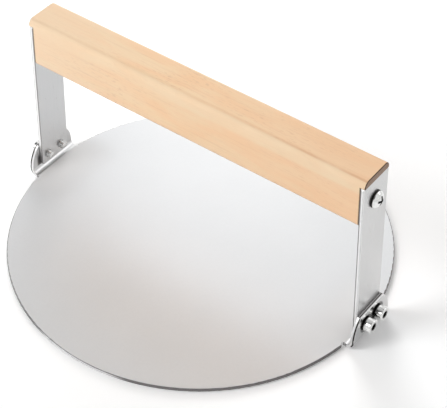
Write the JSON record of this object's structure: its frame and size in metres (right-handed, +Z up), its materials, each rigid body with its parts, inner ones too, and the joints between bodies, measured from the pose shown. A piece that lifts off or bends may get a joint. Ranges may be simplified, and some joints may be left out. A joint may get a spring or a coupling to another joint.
{
  "type": "burger press",
  "caption": "Round flat steel plate with upright side straps and a wooden bar handle, for pressing burgers flat on a griddle.",
  "frame": {"origin": "centre of the plate's flat underside, the face that presses", "axes": "+X along the handle towards the right strap, +Z up through the handle"},
  "size_m": [0.1952, 0.18, 0.0929],
  "materials": {
    "plate_steel": "satin, finely brushed",
    "strap_steel": "satin, brushed lengthwise",
    "handle_wood": "smooth oiled beech",
    "screw_steel": "bright plated"
  },
  "bodies": {
    "root": {"press_plate": "plate_steel", "left_strap": "strap_steel", "right_strap": "strap_steel", "handle_bar": "handle_wood", "left_handle_screw": "screw_steel", "right_handle_screw": "screw_steel", "left_front_cap_screw": "screw_steel", "left_rear_cap_screw": "screw_steel", "right_front_cap_screw": "screw_steel", "right_rear_cap_screw": "screw_steel"}
  },
  "joints": []
}
